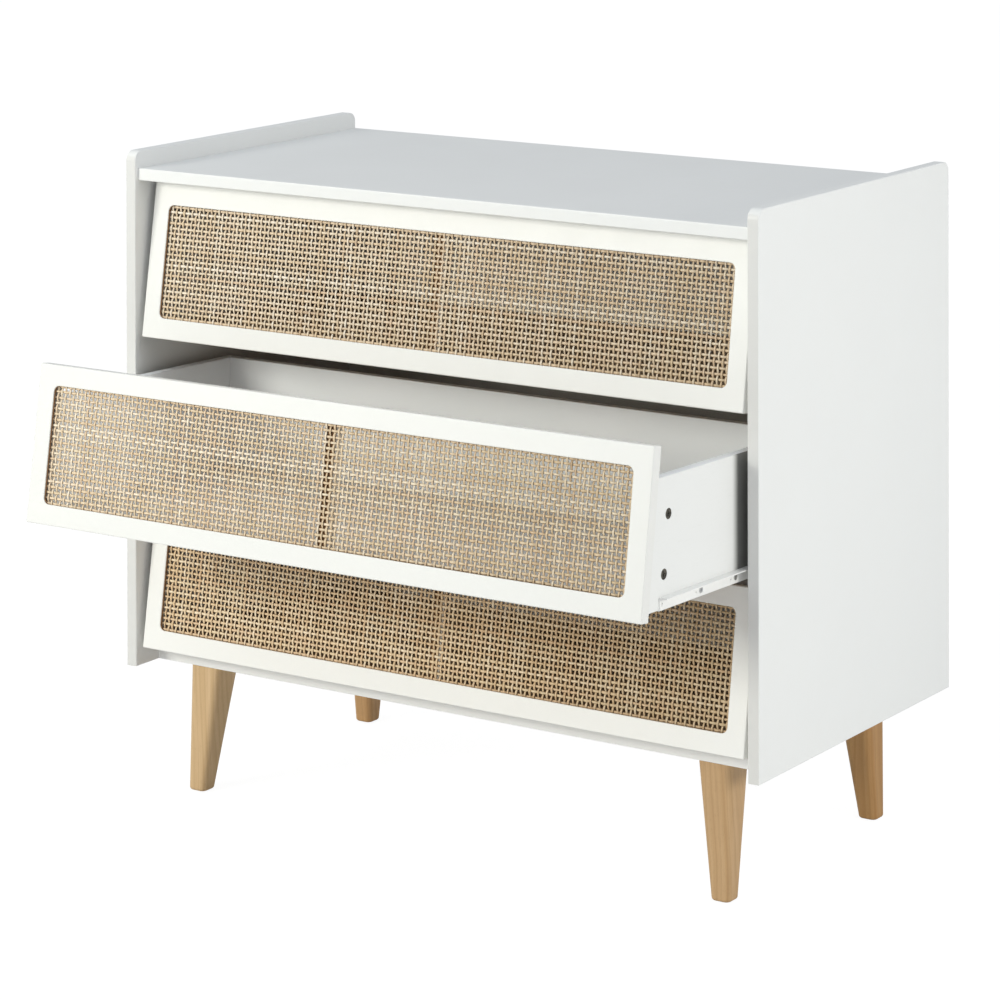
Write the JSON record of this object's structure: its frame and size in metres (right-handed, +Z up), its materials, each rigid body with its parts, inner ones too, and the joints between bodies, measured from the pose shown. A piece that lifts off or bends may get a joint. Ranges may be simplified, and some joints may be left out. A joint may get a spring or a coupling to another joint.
{
  "type": "chest of drawers",
  "caption": "Low chest with drawers whose leaning fronts frame woven cane, raised side panels round the top, roller runners and square tapered wooden legs.",
  "frame": {"origin": "on the floor, on the left-right centre plane, at the middle of the overall depth as modelled, with the middle drawer standing open 211 mm; the carcass's own front edge is at Y = -121.34 mm and its rear edge at Y = 328.66 mm", "axes": "+X to the chest's right as seen from the front, +Y to the back, +Z up"},
  "size_m": [0.9, 0.6574, 0.785],
  "materials": {
    "white_lacquer": "white satin lacquer on fibreboard",
    "drawer_white": "white foil on board",
    "brown_hardboard": "brown hardboard",
    "raw_fibreboard": "raw brown fibreboard",
    "leg_wood": "clear-finished light hardwood",
    "dowel_wood": "raw beech",
    "woven_cane": "open woven natural cane",
    "white_runner": "white epoxy powder coat",
    "nylon": "natural nylon",
    "zinc_steel": "zinc plated",
    "cam_metal": "zinc die cast, dull"
  },
  "bodies": {
    "carcass": {"side_panel_left": "white_lacquer", "side_panel_right": "white_lacquer", "top_panel": "white_lacquer", "bottom_panel": "white_lacquer", "back_panel": "brown_hardboard", "leg_front_left": "leg_wood", "leg_front_right": "leg_wood", "leg_back_left": "leg_wood", "leg_back_right": "leg_wood", "leg_hanger_bolts": "zinc_steel", "leg_insert_nuts": "zinc_steel", "carcass_cam_housings": "cam_metal", "carcass_cam_bolts": "zinc_steel", "carcass_dowels": "dowel_wood", "cabinet_runner_screws": "zinc_steel", "lower_cabinet_runner_left": "white_runner", "lower_cabinet_runner_right": "white_runner", "middle_cabinet_runner_left": "white_runner", "middle_cabinet_runner_right": "white_runner", "upper_cabinet_runner_left": "white_runner", "upper_cabinet_runner_right": "white_runner"},
    "lower_drawer": {"lower_drawer_front": "white_lacquer", "lower_drawer_cane_panel": "woven_cane", "lower_drawer_cane_retainer": "raw_fibreboard", "lower_drawer_side_left": "drawer_white", "lower_drawer_side_right": "drawer_white", "lower_drawer_back": "drawer_white", "lower_drawer_bottom": "drawer_white", "lower_drawer_cam_fittings": "cam_metal", "lower_drawer_screws": "zinc_steel", "lower_drawer_runner_left": "white_runner", "lower_drawer_runner_right": "white_runner"},
    "lower_rear_rollers": {"lower_drawer_rear_rollers": "nylon"},
    "lower_cabinet_rollers": {"lower_cabinet_rollers": "nylon"},
    "middle_drawer": {"middle_drawer_front": "white_lacquer", "middle_drawer_cane_panel": "woven_cane", "middle_drawer_cane_retainer": "raw_fibreboard", "middle_drawer_side_left": "drawer_white", "middle_drawer_side_right": "drawer_white", "middle_drawer_back": "drawer_white", "middle_drawer_bottom": "drawer_white", "middle_drawer_cam_fittings": "cam_metal", "middle_drawer_screws": "zinc_steel", "middle_drawer_runner_left": "white_runner", "middle_drawer_runner_right": "white_runner"},
    "middle_rear_rollers": {"middle_drawer_rear_rollers": "nylon"},
    "middle_cabinet_rollers": {"middle_cabinet_rollers": "nylon"},
    "upper_drawer": {"upper_drawer_front": "white_lacquer", "upper_drawer_cane_panel": "woven_cane", "upper_drawer_cane_retainer": "raw_fibreboard", "upper_drawer_side_left": "drawer_white", "upper_drawer_side_right": "drawer_white", "upper_drawer_back": "drawer_white", "upper_drawer_bottom": "drawer_white", "upper_drawer_cam_fittings": "cam_metal", "upper_drawer_screws": "zinc_steel", "upper_drawer_runner_left": "white_runner", "upper_drawer_runner_right": "white_runner"},
    "upper_rear_rollers": {"upper_drawer_rear_rollers": "nylon"},
    "upper_cabinet_rollers": {"upper_cabinet_rollers": "nylon"}
  },
  "joints": [
    {"name": "lower_drawer_slide", "type": "slide", "parent": "carcass", "child": "lower_drawer", "axis": [0, -0.9997, 0.0262], "range_m": [0, 0.23]},
    {"name": "lower_rear_roller_spin", "type": "hinge", "parent": "lower_drawer", "child": "lower_rear_rollers", "pos_m": [0, 0.21563, 0.17733], "axis": [1, 0, 0], "continuous": true},
    {"name": "lower_cabinet_roller_spin", "type": "hinge", "parent": "carcass", "child": "lower_cabinet_rollers", "pos_m": [0, -0.06424, 0.18591], "axis": [1, 0, 0], "continuous": true},
    {"name": "middle_drawer_slide", "type": "slide", "parent": "carcass", "child": "middle_drawer", "axis": [0, -0.9997, 0.0262], "range_m": [-0.211, 0.019]},
    {"name": "middle_rear_roller_spin", "type": "hinge", "parent": "middle_drawer", "child": "middle_rear_rollers", "pos_m": [0, 0.0047, 0.37395], "axis": [1, 0, 0], "continuous": true},
    {"name": "middle_cabinet_roller_spin", "type": "hinge", "parent": "carcass", "child": "middle_cabinet_rollers", "pos_m": [0, -0.06424, 0.37701], "axis": [1, 0, 0], "continuous": true},
    {"name": "upper_drawer_slide", "type": "slide", "parent": "carcass", "child": "upper_drawer", "axis": [0, -0.9997, 0.0262], "range_m": [0, 0.23]},
    {"name": "upper_rear_roller_spin", "type": "hinge", "parent": "upper_drawer", "child": "upper_rear_rollers", "pos_m": [0, 0.21563, 0.55953], "axis": [1, 0, 0], "continuous": true},
    {"name": "upper_cabinet_roller_spin", "type": "hinge", "parent": "carcass", "child": "upper_cabinet_rollers", "pos_m": [0, -0.06424, 0.56811], "axis": [1, 0, 0], "continuous": true}
  ],
  "couplings": [
    {"joint": "lower_rear_roller_spin", "follows": "lower_drawer_slide", "rad_per_m": 153.85},
    {"joint": "lower_cabinet_roller_spin", "follows": "lower_drawer_slide", "rad_per_m": 133.33},
    {"joint": "middle_rear_roller_spin", "follows": "middle_drawer_slide", "rad_per_m": 153.85},
    {"joint": "middle_cabinet_roller_spin", "follows": "middle_drawer_slide", "rad_per_m": 133.33},
    {"joint": "upper_rear_roller_spin", "follows": "upper_drawer_slide", "rad_per_m": 153.85},
    {"joint": "upper_cabinet_roller_spin", "follows": "upper_drawer_slide", "rad_per_m": 133.33}
  ]
}
